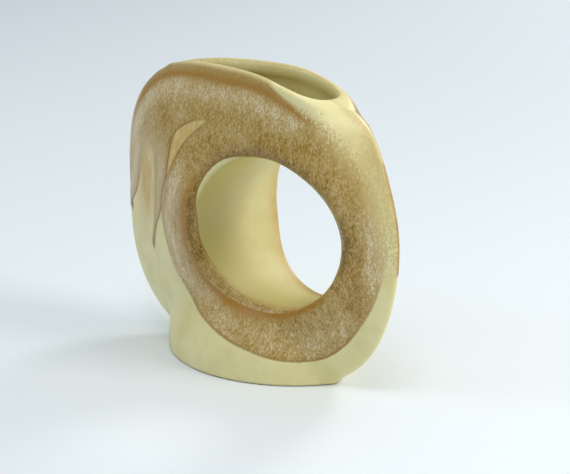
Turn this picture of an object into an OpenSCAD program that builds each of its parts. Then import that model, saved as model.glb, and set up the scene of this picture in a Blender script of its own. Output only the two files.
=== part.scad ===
// Ring vase in glazed stoneware, one hollow fired piece.
// Two dished faces meet in a rounded edge. A wide window goes through them, off centre, and the clay
// runs all the way round it as a hollow ring. The top opens in a slot that widens to one side, with
// a shoulder beside its wide end, and the ring is cut off level by an oval foot that swells up into
// the faces.
// Millimetres. X is the width, the front looks along -Y, Z is up. The origin is on the table, below
// the middle of the ring.

/* [Ring] */
// Width across the widest part
body_w = 230; // [222:1:238]
// Depth that the two dished faces would have between their middles
body_d = 85; // [80:1:90]
// Height of the widest part
waist_z = 89; // [86:0.5:92]
// Height of the lip where the edge of the ring is highest
crown_z = 181; // [176:0.5:188]
// How far below the table the outline of the ring would close, if the foot did not cut it off
keel_drop = 8; // [5:0.5:11]
// Thickness of the rounded edge where the two faces meet
edge_d = 11.5; // [10:0.5:15]

/* [Foot] */
// Width of the oval foot
foot_w = 128; // [122:1:134]
// Depth of the oval foot
foot_d = 84; // [80:1:87]
// Middle of the foot, to the left of the middle of the ring
foot_shift = 2; // [0:0.5:4]
// Height of the upright wall of the foot
foot_h = 5; // [4:0.5:8]
// Height at which the swell above the foot dies away into the faces
swell_z = 47; // [40:0.5:54]
// How far the wall of the foot stands back below the faces
foot_step = 0.6; // [0.4:0.1:1]
// Bevel round the bottom of the foot, where the glaze is wiped away
foot_bevel = 1.2; // [0.6:0.1:2.4]
// Depth of the shallow recess under the foot
recess_h = 1.5; // [1:0.25:2.5]
// Width of the bare ring that the vase stands on
foot_ring = 9; // [7:0.5:14]

/* [Window] */
// Width of the window
window_w = 99; // [94:1:102]
// Height of the window
window_h = 90; // [86:1:92]
// Width that is left of the ring where it is narrowest, to the right of the window
narrow_w = 32; // [30:0.5:34]
// Radius that rounds the window over into the two faces
window_round = 8; // [5:0.5:10]
// Middle of the window above the table
window_z = 88.5; // [87:0.5:91]

/* [Mouth] */
// Length of the slot
mouth_w = 135; // [128:1:138]
// Mean depth of the slot from front to back
mouth_d = 21.5; // [19:0.5:24]
// Middle of the slot, to the left of the middle of the ring
mouth_shift = 4; // [2:0.5:6]
// Thickness of the lip
lip_t = 5.75; // [4.75:0.25:6.5]
// How far the lip runs on into the shoulder beyond the wide end of the slot
lip_run = 27; // [22:1:32]
// How far the lip runs on beyond the narrow end of the slot
lip_run_left = 16; // [12:1:20]
// How much further the swelling of the lip spreads along the faces below it
lip_spread = 20; // [10:1:30]
// Depth of the upright walls that lead from the lip down to the hollow
throat_h = 14; // [13:0.5:18]

/* [Shoulder] */
// How far the shoulder stands out from each face beside the wide end of the slot
shoulder_d = 3; // [1:0.5:6]
// Middle of the shoulder, to the right of the middle of the ring
shoulder_x = 69; // [64:1:76]
// Spread of the shoulder to each side of its middle
shoulder_w = 31; // [26:1:38]
// How far the outline swells out at the shoulder
shoulder_r = 10; // [8:0.5:13]
// Height above the waist at which the shoulder and the lip are fully formed
rise_h = 46; // [38:1:54]

/* [Wall] */
// Thickness of the clay
wall_t = 5; // [4:0.25:5.5]
// Thickness of the clay under the hollow
floor_t = 7; // [6:0.5:8]
// Solid clay between the hollow and the tip of the rounded edge
edge_t = 9; // [8:0.5:10]

/* [Hidden] */

// Fullness of the outline at its four corners: 2 is an ellipse, and more is squarer
upper_right_share = 1.57;
upper_left_share = 3.46;
lower_left_share = 2.52;
lower_right_share = 2.65;
// Fullness of the foot and of the slot, seen from above
foot_share = 1.9;
mouth_share = 2.55;
// Fullness of the lip along the slot, and how it fades at its ends
lip_share = 3.7;
lip_end_share = 1.43;
// How close to the rim the full depth of the lip is reached
lip_near_share = 6;
// How late the edge beyond the ends of the slot rounds over, and over what share of its length
shoulder_round_share = 14;
shoulder_blend_share = 0.55;
// How the faces fall from the middle to the edge, and how late the edge rounds over
dish_share = 1.12;
edge_share = 3.9;
// How much wider the slot is at its right end than its mean, and narrower at its left end
mouth_skew_share = 0.98;
// Where the faces start to lean out to the lip, from the middle of the ring to its edge
lean_start_share = 0.08;
lean_share = 2;
// Direction of the shoulder from the waist point, and its spread, in degrees
shoulder_turn = 36.4;
shoulder_fan = 15;
// How sharply the swell of the foot blends into the faces
blend_share = 6;
// The wall is measured straight through the slope of the faces
slope_share = 1.15;

// Narrow flat along the very edge, where the two faces close
seam_d = 1.2;
// Overrun of the cuts
over = 4;
// Steps round the outline and from the middle to the edge
outer_steps = 92;
outer_rings = 13;
inner_steps = 60;
inner_rings = 8;
window_steps = 56;
plan_steps = 60;
round_steps = 4;
// How far the rounding of the window bites into the faces, so that it ends in a clean line
rim_bite = 0.4;

body_r = body_w / 2;
window_x = body_r - narrow_w - window_w / 2;
mouth_x = -mouth_shift;
mouth_r = mouth_w / 2;

// A power of a cosine or sine that keeps its sign
function signed_pow(v, power) = sign(v) * pow(abs(v), power);

// Points of an oval of the given half sizes and fullness
function oval(rx, ry, share, steps) =
    [for (i = [0:steps - 1])
        let (a = 360 * i / steps)
        [rx * signed_pow(cos(a), 2 / share), ry * signed_pow(sin(a), 2 / share)]];

// Distance from the waist point to the outline of the ring, in the direction a
function outline_r(a) =
    let (
        c = cos(a),
        s = sin(a),
        right = (1 + c) / 2,
        upper = (1 + s) / 2,
        up_share = right * upper_right_share + (1 - right) * upper_left_share,
        low_share = right * lower_right_share + (1 - right) * lower_left_share,
        share = upper * up_share + (1 - upper) * low_share,
        rise = s > 0 ? crown_z - waist_z : waist_z + keel_drop,
        turn = a > 180 ? a - 360 : a
    )
    pow(pow(abs(c / body_r), share) + pow(abs(s / rise), share), -1 / share)
    + shoulder_r * exp(-pow((turn - shoulder_turn) / shoulder_fan, 2));

// Smooth step from 0 to 1
function ease(v) = let (t = max(0, min(1, v))) t * t * (3 - 2 * t);

// Half depth of the foot and of the swell above it
function swell(x, z) =
    let (
        along = abs(2 * (x + foot_shift) / foot_w),
        up = min(1, max(0, z - foot_h) / (swell_z - foot_h))
    )
    foot_d / 2
    * pow(max(0, pow(1 - up * up, foot_share / 2) - pow(along, foot_share)), 1 / foot_share);

// How far the lip reaches from the middle of the slot, on the side of the given width
function lip_reach(x) =
    mouth_r + lip_t + lip_run_left
    + (lip_run - lip_run_left) * ease((1 + (x - mouth_x) / mouth_r) / 2);

// Half depth of the widening slot with its lip, before the ends are closed
function slot_half(u) = mouth_d / 2 * (1 + mouth_skew_share * u) + lip_t;

// Half depth of the lip, measured to its outer side
function lip_half(x) =
    let (u = max(-1, min(1, (x - mouth_x) / lip_reach(x))))
    slot_half(u) * pow(1 - pow(abs(u), lip_share), lip_end_share);

// Half depth that the lip adds to the faces: full at the rim, and a wider bell below it
function lip_swing(x, out) =
    let (
        u = max(-1, min(1, (x - mouth_x) / (lip_reach(x) + lip_spread * (1 - out)))),
        bell = slot_half(u) * (1 - u * u),
        near = pow(min(1, out), lip_near_share)
    )
    sqrt(out * (near * pow(lip_half(x), 2) + (1 - near) * bell * bell));

// How much of the lip is kept at a share of the way to the outline: beyond the ends it rounds over
function lip_round(x, share) =
    let (past = ease((abs(x - mouth_x) / mouth_r - 1) / shoulder_blend_share))
    sqrt(max(0, 1 - past * pow(share, shoulder_round_share)));

// How far the shoulder stands out at a width, where it is fully formed
function shoulder(x) = shoulder_d * exp(-pow((x - shoulder_x) / shoulder_w, 2));

// How far the lean out to the lip has gone, at a height and a share of the way to the outline
function lean(z, share) =
    let (up = max(0, min(1, (z - waist_z) / rise_h)))
    up * up * (3 - 2 * up)
    * pow(max(0, (share - lean_start_share) / (1 - lean_start_share)), lean_share);

// Half depth of the whole body at a point of the ring
function half_depth(x, z, share) =
    let (
        out = lean(z, share),
        dish = (body_d - edge_d) / 2 * (1 - pow(share, dish_share)),
        edge = (edge_d / 2 + shoulder(x) * out) * sqrt(1 - pow(share, edge_share)),
        face = dish + norm([edge, lip_swing(x, out) * lip_round(x, share)])
    )
    pow(pow(face, blend_share) + pow(swell(x, z), blend_share), 1 / blend_share);

// One station of the ring: width, height and half depth, drawn in from the edge and the faces
function station(a, share, inset, skin) =
    let (
        full = outline_r(a),
        r = share * (full - inset),
        x = r * cos(a),
        z = waist_z + r * sin(a)
    )
    [x, z, max(seam_d / 2, half_depth(x, z, min(1, r / full)) - skin)];

// Closed solid between a front and a back face, both laid out in rings round the waist point
module dished_solid(steps, rings, inset, skin) {
    stations = [
        for (j = [0:rings])
            let (share = sin(90 * j / rings))
            for (i = [0:(j == 0 ? 0 : steps - 1)]) station(360 * i / steps, share, inset, skin)
    ];
    n = len(stations);
    front = [for (s = stations) [s.x, -s.z, s.y]];
    back = [for (s = stations) [s.x, s.z, s.y]];
    function at(j, i) = j == 0 ? 0 : 1 + (j - 1) * steps + i % steps;
    faces = [
        for (j = [0:rings - 1], i = [0:steps - 1])
            let (p = at(j, i), q = at(j, i + 1), r = at(j + 1, i + 1), s = at(j + 1, i))
            each concat(
                [[p, r, s], [n + p, n + s, n + r]],
                j == 0 ? [] : [[p, q, r], [n + p, n + r, n + q]]
            ),
        for (i = [0:steps - 1])
            let (p = at(rings, i), q = at(rings, i + 1))
            each [[p, n + q, n + p], [p, q, n + q]]
    ];
    polyhedron(points = concat(front, back), faces = faces, convexity = 6);
}

// Slab with the plan of the foot, drawn in by the given inset
module foot_slab(inset, bottom, top) {
    translate([-foot_shift, 0, bottom])
        linear_extrude(top - bottom)
            polygon(oval(foot_w / 2 - inset, foot_d / 2 - inset, foot_share, plan_steps));
}

// Upright wall of the foot, with its bevel at the table
module foot_block() {
    foot_slab(foot_step, foot_bevel, foot_h);
    foot_slab(foot_step + foot_bevel, 0, foot_h);
}

// Everything above the given height
module above(z) {
    translate([-body_w, -body_d, z])
        cube([2 * body_w, 2 * body_d, crown_z]);
}

// Oval post through both faces, grown by the given thickness
module window_post(grow) {
    translate([window_x, body_d, window_z])
        rotate([90, 0, 0])
            linear_extrude(2 * body_d)
                polygon(oval(window_w / 2 + grow, window_h / 2 + grow, 2, window_steps));
}

// Half depth of the body at a width and a height
function face_at(x, z) =
    let (r = norm([x, z - waist_z]))
    half_depth(x, z, min(1, r / outline_r(atan2(z - waist_z, x))));

// Point beside the window, in the given direction from its middle and that far from its wall
function beside_window(a, d) =
    let (c = cos(a), s = sin(a), out = [c * window_h, s * window_w])
    [window_x + window_w / 2 * c, window_z + window_h / 2 * s] + d * out / norm(out);

// Ring that rounds the window over into the front face, following the dish
module window_rim() {
    arc = [
        for (k = [0:round_steps])
            let (t = 90 * k / round_steps)
            [window_round * (1 - cos(t)) - rim_bite / 2, window_round * (1 - sin(t)) + rim_bite]
    ];
    profile = concat([[-over, window_round]], arc, [[window_round, -over], [-over, -over]]);
    n = len(profile);
    points = [
        for (i = [0:window_steps - 1])
            for (q = profile)
                let (
                    a = 360 * (i + 1 / 2) / window_steps,
                    p = beside_window(a, q.x),
                    f = beside_window(a, max(0, q.x))
                )
                [p.x, q.y - face_at(f.x, f.y), p.y]
    ];
    function at(i, k) = (i % window_steps) * n + k % n;
    faces = [
        for (i = [0:window_steps - 1], k = [0:n - 1])
            each [
                [at(i, k), at(i + 1, k + 1), at(i + 1, k)],
                [at(i, k), at(i, k + 1), at(i + 1, k + 1)]
            ]
    ];
    polyhedron(points = points, faces = faces, convexity = 6);
}

// Slot of the mouth, with upright walls just below the lip
module mouth_slot() {
    slot = [
        for (i = [0:plan_steps - 1])
            let (a = 360 * i / plan_steps, c = cos(a), s = sin(a))
            [
                mouth_x + mouth_r * c,
                mouth_d / 2 * (1 + mouth_skew_share * c) * signed_pow(s, 2 / mouth_share)
            ]
    ];
    intersection() {
        translate([0, 0, waist_z])
            linear_extrude(crown_z + over - waist_z)
                polygon(slot);
        translate([0, 0, -throat_h])
            above_edge();
    }
}

// Everything above the outline of the ring
module above_edge() {
    right_a = 8;
    left_a = 172;
    edge = [
        for (i = [0:outer_steps])
            let (a = right_a + (left_a - right_a) * i / outer_steps)
            [outline_r(a) * cos(a), waist_z + outline_r(a) * sin(a)]
    ];
    top = crown_z + throat_h + 2 * over;
    far = [[-body_w, edge[outer_steps].y], [-body_w, top], [body_w, top], [body_w, edge[0].y]];
    rotate([90, 0, 0])
        translate([0, 0, -body_d])
            linear_extrude(2 * body_d)
                polygon(concat(edge, far));
}

// Hollow that runs all the way round the window
module ring_hollow() {
    difference() {
        intersection() {
            dished_solid(inner_steps, inner_rings, edge_t, wall_t * slope_share);
            above(floor_t);
        }
        window_post(wall_t);
    }
}

module vase_body() {
    color("#cfc48f")
        difference() {
            union() {
                intersection() {
                    dished_solid(outer_steps, outer_rings, 0, 0);
                    above(foot_bevel);
                }
                foot_block();
            }
            ring_hollow();
            mouth_slot();
            window_post(0);
            window_rim();
            mirror([0, 1, 0])
                window_rim();
            foot_slab(foot_ring, -over, recess_h);
        }
}

vase_body();
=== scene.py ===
"""Ring vase in glazed stoneware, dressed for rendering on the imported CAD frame.

The clay is modelled as a distance field with soft edges and meshed at one millimetre, from the same
named sizes as the CAD source. Glaze zones are distances on that surface, in millimetres, and the
material turns them into colour, gloss and relief.
"""

from __future__ import annotations

import logging
import math
from dataclasses import dataclass, fields
from enum import Enum

import bpy
import numpy as np
from mathutils import Matrix, Vector

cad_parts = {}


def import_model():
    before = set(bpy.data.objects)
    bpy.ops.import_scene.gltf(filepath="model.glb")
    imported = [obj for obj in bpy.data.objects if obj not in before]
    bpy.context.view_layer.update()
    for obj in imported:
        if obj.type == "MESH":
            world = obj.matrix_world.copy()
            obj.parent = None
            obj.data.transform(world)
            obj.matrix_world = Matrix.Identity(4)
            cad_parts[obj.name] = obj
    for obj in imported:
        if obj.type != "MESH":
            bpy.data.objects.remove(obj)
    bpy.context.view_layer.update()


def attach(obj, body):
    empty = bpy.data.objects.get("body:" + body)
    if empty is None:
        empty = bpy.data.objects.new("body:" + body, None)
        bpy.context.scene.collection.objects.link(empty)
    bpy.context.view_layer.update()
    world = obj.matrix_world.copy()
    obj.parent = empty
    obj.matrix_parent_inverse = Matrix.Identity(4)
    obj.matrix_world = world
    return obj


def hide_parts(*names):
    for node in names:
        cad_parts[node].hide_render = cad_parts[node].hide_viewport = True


LOG = logging.getLogger("ring_vase")
MM = 0.001
# Layers of the glaze, each a method of GlazeMap and an attribute of the mesh.
LAYERS = (
    "veil", "soft", "edge", "bead", "thickness", "grain", "burn", "stain", "pool", "crest",
    "chips", "bare",
)


@dataclass(frozen=True)
class Span:
    """Smooth step from 0 at one value to 1 at the other; the first may be the larger."""

    start: float
    end: float

    def at(self, values: np.ndarray) -> np.ndarray:
        """Steps the values.

        Args:
            values: Values of any measure.

        Returns:
            Shares from 0 to 1.
        """
        t = np.clip((values - self.start) / (self.end - self.start), 0, 1)
        return t * t * (3 - 2 * t)


@dataclass(frozen=True)
class Swell:
    """Bell of height 1, which has dropped to about a third at its spread from the middle."""

    middle: float
    spread: float

    def at(self, values: np.ndarray) -> np.ndarray:
        """Weighs the values.

        Args:
            values: Values of any measure.

        Returns:
            Shares from 0 to 1.
        """
        return np.exp(-(((values - self.middle) / self.spread) ** 2))


@dataclass(frozen=True)
class Stretch:
    """Stretch of values that begins with one step and ends with another."""

    rise: Span
    fall: Span

    def at(self, values: np.ndarray) -> np.ndarray:
        """Weighs the values.

        Args:
            values: Values of any measure.

        Returns:
            Shares from 0 to 1.
        """
        return self.rise.at(values) * self.fall.at(values)


Shape = Span | Swell | Stretch


@dataclass(frozen=True)
class Form:
    """Sizes of the vase in millimetres, the same as in the CAD source."""

    body_w: float = 230.0
    body_d: float = 85.0
    waist_z: float = 89.0
    crown_z: float = 181.0
    keel_drop: float = 8.0
    edge_d: float = 11.5
    foot_w: float = 128.0
    foot_d: float = 84.0
    foot_shift: float = 2.0
    foot_h: float = 5.0
    swell_z: float = 47.0
    foot_bevel: float = 1.2
    recess_h: float = 1.5
    foot_ring: float = 9.0
    window_w: float = 99.0
    window_h: float = 90.0
    window_x: float = 33.5
    window_z: float = 88.5
    mouth_w: float = 135.0
    mouth_d: float = 21.5
    mouth_shift: float = 4.0
    lip_t: float = 5.75
    lip_run: float = 27.0
    lip_run_left: float = 16.0
    throat_h: float = 14.0
    shoulder_d: float = 3.0
    shoulder_x: float = 69.0
    shoulder_w: float = 31.0
    shoulder_r: float = 10.0
    rise_h: float = 46.0
    wall_t: float = 5.0
    floor_t: float = 7.0
    edge_t: float = 9.0
    upper_right_share: float = 1.57
    upper_left_share: float = 3.46
    lower_left_share: float = 2.52
    lower_right_share: float = 2.65
    foot_share: float = 1.9
    mouth_share: float = 2.55
    dish_share: float = 1.12
    edge_share: float = 3.9
    mouth_skew_share: float = 0.98
    lean_start_share: float = 0.08
    lip_share: float = 3.7
    lip_end_share: float = 1.43
    lip_near_share: float = 6.0
    lip_spread: float = 20.0
    shoulder_turn: float = 36.4
    shoulder_fan: float = 15.0
    # Keeps the distance from the window's wall finite at its middle.
    least_gauge: float = 0.05

    @property
    def mouth_r(self) -> float:
        """Half length of the slot."""
        return self.mouth_w / 2

    def outline(self, x: np.ndarray, z: np.ndarray) -> np.ndarray:
        """Distance from the waist point to the outline of the ring.

        Args:
            x: Width of each point.
            z: Height of each point.

        Returns:
            The outline's radius in the direction of each point.
        """
        turn = np.arctan2(z - self.waist_z, x)
        c, s = np.cos(turn), np.sin(turn)
        right, upper = (1 + c) / 2, (1 + s) / 2
        up = right * self.upper_right_share + (1 - right) * self.upper_left_share
        low = right * self.lower_right_share + (1 - right) * self.lower_left_share
        share = upper * up + (1 - upper) * low
        rise = np.where(s > 0, self.crown_z - self.waist_z, self.waist_z + self.keel_drop)
        oval = (np.abs(2 * c / self.body_w) ** share + np.abs(s / rise) ** share) ** (-1 / share)
        fan = (np.degrees(turn) - self.shoulder_turn) / self.shoulder_fan
        return oval + self.shoulder_r * np.exp(-(fan**2))

    def lip_reach(self, x: np.ndarray) -> tuple[np.ndarray, np.ndarray]:
        """Distance along the slot from its middle, and how far the lip reaches on that side.

        Args:
            x: Width of each point.

        Returns:
            The signed distance and the reach.
        """
        along = x + self.mouth_shift
        way = (1 + np.clip(along / self.mouth_r, -1, 1)) / 2
        run = self.lip_run_left + (self.lip_run - self.lip_run_left) * way * way * (3 - 2 * way)
        return along, self.mouth_r + self.lip_t + run

    def lip_half(self, x: np.ndarray) -> np.ndarray:
        """Half depth of the lip at its outer side.

        Args:
            x: Width of each point.

        Returns:
            The half depth, zero beyond the ends of the lip.
        """
        along, reach = self.lip_reach(x)
        u = np.clip(along / reach, -1, 1)
        plan = (1 - np.abs(u) ** self.lip_share) ** self.lip_end_share
        return (self.mouth_d / 2 * (1 + self.mouth_skew_share * u) + self.lip_t) * plan

    def lip_swing(self, x: np.ndarray, lean: np.ndarray) -> np.ndarray:
        """Square of how far the lip has swung out, spreading wider below the rim.

        Args:
            x: Width of each point.
            lean: Lean of each point.

        Returns:
            The square of the half depth that the lip adds.
        """
        along, reach = self.lip_reach(x)
        u = np.clip(along / (reach + self.lip_spread * (1 - lean)), -1, 1)
        bell = (self.mouth_d / 2 * (1 + self.mouth_skew_share * u) + self.lip_t) * (1 - u * u)
        near = np.clip(lean, 0, 1) ** self.lip_near_share
        return lean * (near * self.lip_half(x) ** 2 + (1 - near) * bell**2)

    def window_gap(self, x: np.ndarray, z: np.ndarray) -> np.ndarray:
        """Distance from the wall of the window, less than zero inside the opening.

        Args:
            x: Width of each point.
            z: Height of each point.

        Returns:
            The signed distance, seen from the front.
        """
        wide = 2 * (x - self.window_x) / self.window_w
        tall = 2 * (z - self.window_z) / self.window_h
        gauge = np.maximum(np.hypot(wide, tall), self.least_gauge)
        slope = np.hypot(wide / self.window_w, tall / self.window_h) * 2 / gauge
        return (gauge - 1) / slope

    def section(
        self, x: np.ndarray, z: np.ndarray, share: np.ndarray
    ) -> tuple[np.ndarray, np.ndarray, np.ndarray]:
        """Section of the ring through its faces.

        Args:
            x: Width of each point.
            z: Height of each point.
            share: Share of the way from the waist point to the outline.

        Returns:
            Half depth of the dish, half thickness of the edge, and the square of how far the
            face stands out from the dish.
        """
        lean = self.lean(z, share)
        shoulder = self.shoulder_d * np.exp(-(((x - self.shoulder_x) / self.shoulder_w) ** 2))
        edge = self.edge_d / 2 + shoulder * lean
        dish = (self.body_d - self.edge_d) / 2 * (1 - share**self.dish_share)
        swing = edge**2 * (1 - share**self.edge_share) + self.lip_swing(x, lean)
        return dish, edge, swing

    def face_half(self, x: np.ndarray, z: np.ndarray) -> np.ndarray:
        """Half depth of the two faces, without the window and the slot.

        Args:
            x: Width of each point.
            z: Height of each point.

        Returns:
            The half depth at each point.
        """
        share = np.clip(np.hypot(x, z - self.waist_z) / self.outline(x, z), 0, 1)
        dish, _, swing = self.section(x, z, share)
        face = dish + np.sqrt(swing)
        up = np.clip((z - self.foot_h) / (self.swell_z - self.foot_h), 0, 1)
        plan = np.abs(2 * (x + self.foot_shift) / self.foot_w) ** self.foot_share
        room = np.clip((1 - up**2) ** (self.foot_share / 2) - plan, 0, None)
        return np.maximum(face, self.foot_d / 2 * room ** (1 / self.foot_share))

    def lean(self, z: np.ndarray, share: np.ndarray) -> np.ndarray:
        """How far the faces have leaned out to the lip, from 0 to 1.

        Args:
            z: Height of each point.
            share: Share of the way from the waist point to the outline.

        Returns:
            The lean of each point.
        """
        up = np.clip((z - self.waist_z) / self.rise_h, 0, 1)
        out = np.clip((share - self.lean_start_share) / (1 - self.lean_start_share), 0, None)
        return up * up * (3 - 2 * up) * out**2


def soft_max(a: np.ndarray, b: np.ndarray, soft: float | np.ndarray) -> np.ndarray:
    """Larger of two distances, with the edge between them rounded.

    Args:
        a: First distance.
        b: Second distance.
        soft: Distance over which the edge is rounded.

    Returns:
        The rounded maximum.
    """
    h = np.clip(soft - np.abs(a - b), 0, None)
    return np.maximum(a, b) + h * h / (4 * np.maximum(soft, 1e-6))


def soft_min(a: np.ndarray, b: np.ndarray, soft: float | np.ndarray) -> np.ndarray:
    """Smaller of two distances, with the hollow between them filled.

    Args:
        a: First distance.
        b: Second distance.
        soft: Distance over which the hollow is filled.

    Returns:
        The rounded minimum.
    """
    return -soft_max(-a, -b, soft)


@dataclass
class ClayField:
    """Signed distance to the clay, in millimetres, on a regular grid."""

    form: Form
    step: float = 1.0
    window_soft: float = 10.0
    corner_soft: float = 5.0
    lip_soft: float = 3.4
    shoulder_soft: float = 20.0
    flat_share: float = 1.4
    swell_soft: float = 14.0
    foot_spare: float = 7.0
    # Rounding where two surfaces meet.
    corner_turn: float = 132.0
    corner_fan: float = 34.0
    foot_soft: float = 4.0
    hollow_soft: float = 4.0
    floor_soft: float = 3.0
    throat_soft: float = 5.0
    recess_soft: float = 0.8
    # The shoulder grows softer beyond the ends of the slot.
    shoulder_lead: float = 6.0
    shoulder_run: float = 36.0
    # The slot's pointed end keeps a little width, and its floor goes a little into the hollow.
    point_share: float = 0.04
    slot_overlap: float = 2.0
    # Gauges only need a rough scale, because the field is made even afterwards.
    slot_gauge: float = 8.0
    recess_gauge: float = 20.0
    least_slope: float = 0.08
    least_soft: float = 0.05
    spare_x: float = 4.0
    spare_y: float = 3.0
    spare_z: float = 3.0
    spare_top: float = 4.0
    far: float = 99.0

    def __post_init__(self) -> None:
        """Lays out the grid: half of the depth, because the two faces are mirror images."""
        form, step = self.form, self.step
        reach_x, reach_y = form.body_w / 2 + self.spare_x, form.body_d / 2 + self.spare_y
        top = form.crown_z + self.spare_top
        self.x = np.arange(-reach_x, reach_x + step, step, dtype=np.float32)
        self.y = np.arange(0, reach_y + step, step, dtype=np.float32)
        self.z = np.arange(-self.spare_z, top, step, dtype=np.float32)

    def _even(self, raw: np.ndarray) -> np.ndarray:
        """Scales a field so that it grows by one for each millimetre near its surface.

        Args:
            raw: Field that grows at any rate.

        Returns:
            The distance field.
        """
        slopes = np.gradient(raw, self.step)
        slope = np.sqrt(sum(s * s for s in slopes))
        return raw / np.maximum(slope, self.least_slope)

    def _faces(self, x: np.ndarray, y: np.ndarray, z: np.ndarray) -> tuple[np.ndarray, np.ndarray]:
        """Distances to the dished faces and to the outline of the ring.

        Args:
            x: Width of each point.
            y: Depth of each point.
            z: Height of each point.

        Returns:
            The two distance fields.
        """
        form = self.form
        full = form.outline(x, z)
        radius = np.hypot(x, z - form.waist_z)
        dish, edge, swing = form.section(x, z, radius / full)
        raw = (np.clip(y - dish, 0, None) ** 2 - swing) / (2 * edge)
        return self._even(raw), self._even((radius - full) + 0 * y)

    def _swell(self, x: np.ndarray, y: np.ndarray, z: np.ndarray) -> np.ndarray:
        """Distance to the oval foot and the swell above it.

        Args:
            x: Width of each point.
            y: Depth of each point.
            z: Height of each point.

        Returns:
            The distance field.
        """
        form = self.form
        up = np.clip((z - form.foot_h) / (form.swell_z - form.foot_h), 0, None)
        plan = np.abs(2 * (x + form.foot_shift) / form.foot_w) ** form.foot_share
        depth = np.abs(2 * y / form.foot_d) ** form.foot_share
        gauge = np.hypot((plan + depth) ** (1 / form.foot_share), up)
        return self._even((gauge - 1) * form.foot_d / 2)

    def _window(self, x: np.ndarray, y: np.ndarray, z: np.ndarray) -> np.ndarray:
        """Distance to the wall of the window, less than zero inside the opening.

        Args:
            x: Width of each point.
            y: Depth of each point.
            z: Height of each point.

        Returns:
            The distance field.
        """
        form = self.form
        wide = 2 * (x - form.window_x) / form.window_w
        tall = 2 * (z - form.window_z) / form.window_h
        return self._even((np.hypot(wide, tall) - 1) * form.window_h / 2 + 0 * y)

    def _slot(self, x: np.ndarray, y: np.ndarray, z: np.ndarray) -> np.ndarray:
        """Distance to the slot of the mouth, which stops a little below the lip.

        Args:
            x: Width of each point.
            y: Depth of each point.
            z: Height of each point.

        Returns:
            The distance field, less than zero inside the slot.
        """
        form = self.form
        u = (x + form.mouth_shift) / form.mouth_r
        wide = form.mouth_d / 2 * np.clip(1 + form.mouth_skew_share * u, self.point_share, None)
        plan = np.abs(u) ** form.mouth_share + np.abs(y / wide) ** form.mouth_share
        side = self._even((plan ** (1 / form.mouth_share) - 1) * self.slot_gauge + 0 * z)
        floor = form.outline(x, z) - form.throat_h - self.slot_overlap
        depth = floor - np.hypot(x, z - form.waist_z)
        return np.maximum(side, np.where(z < form.waist_z, self.far, depth))

    def solve(self) -> np.ndarray:
        """Builds the whole field.

        Returns:
            Distances over the full grid, mirrored in depth, less than zero inside the clay.
        """
        form = self.form
        x, y, z = np.meshgrid(self.x, self.y, self.z, indexing="ij", sparse=True)
        faces, outline = self._faces(x, y, z)
        along, _ = form.lip_reach(x)
        start = form.mouth_r - self.shoulder_lead
        beyond = Span(start, start + self.shoulder_run).at(np.abs(along))
        soft = self.lip_soft + (self.shoulder_soft - self.lip_soft) * beyond
        flat = form.lip_half(x) * np.sqrt(form.lean(z, np.float32(1)))
        ring = soft_max(faces, outline, np.minimum(soft, self.flat_share * flat) + self.least_soft)
        spare = self.foot_spare * np.clip(1 - z / (2 * form.foot_h), 0, 1)
        swell = soft_max(self._swell(x, y, z), outline - spare, self.foot_soft)
        body = soft_min(ring, swell, self.swell_soft)
        self.body = np.concatenate([body[:, :0:-1], body], axis=1)
        window = self._window(x, y, z)
        inner = soft_max(body + form.wall_t, outline + form.edge_t, self.hollow_soft)
        hollow = soft_max(inner, form.wall_t - window, self.hollow_soft)
        hollow = soft_max(hollow, form.floor_t - z + 0 * x, self.floor_soft)
        void = soft_min(hollow, self._slot(x, y, z), self.throat_soft)
        turn = np.degrees(np.arctan2(z - form.window_z, x - form.window_x))
        corner = Swell(self.corner_turn, self.corner_fan).at(turn)
        rim = self.window_soft + self.corner_soft * corner
        clay = soft_max(body, -window, rim)
        clay = soft_max(clay, -void, self.lip_soft)
        clay = soft_max(clay, -z + 0 * x, form.foot_bevel)
        clay = soft_max(clay, -self._foot_recess(x, y, z), self.recess_soft)
        return np.concatenate([clay[:, :0:-1], clay], axis=1)

    def _foot_recess(self, x: np.ndarray, y: np.ndarray, z: np.ndarray) -> np.ndarray:
        """Distance to the shallow recess under the foot.

        Args:
            x: Width of each point.
            y: Depth of each point.
            z: Height of each point.

        Returns:
            The distance field, less than zero inside the recess.
        """
        form = self.form
        wide = (x + form.foot_shift) / (form.foot_w / 2 - form.foot_ring)
        deep = y / (form.foot_d / 2 - form.foot_ring)
        plan = self._even((np.hypot(wide, deep) - 1) * self.recess_gauge + 0 * z)
        return np.maximum(plan, z - form.recess_h)


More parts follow.
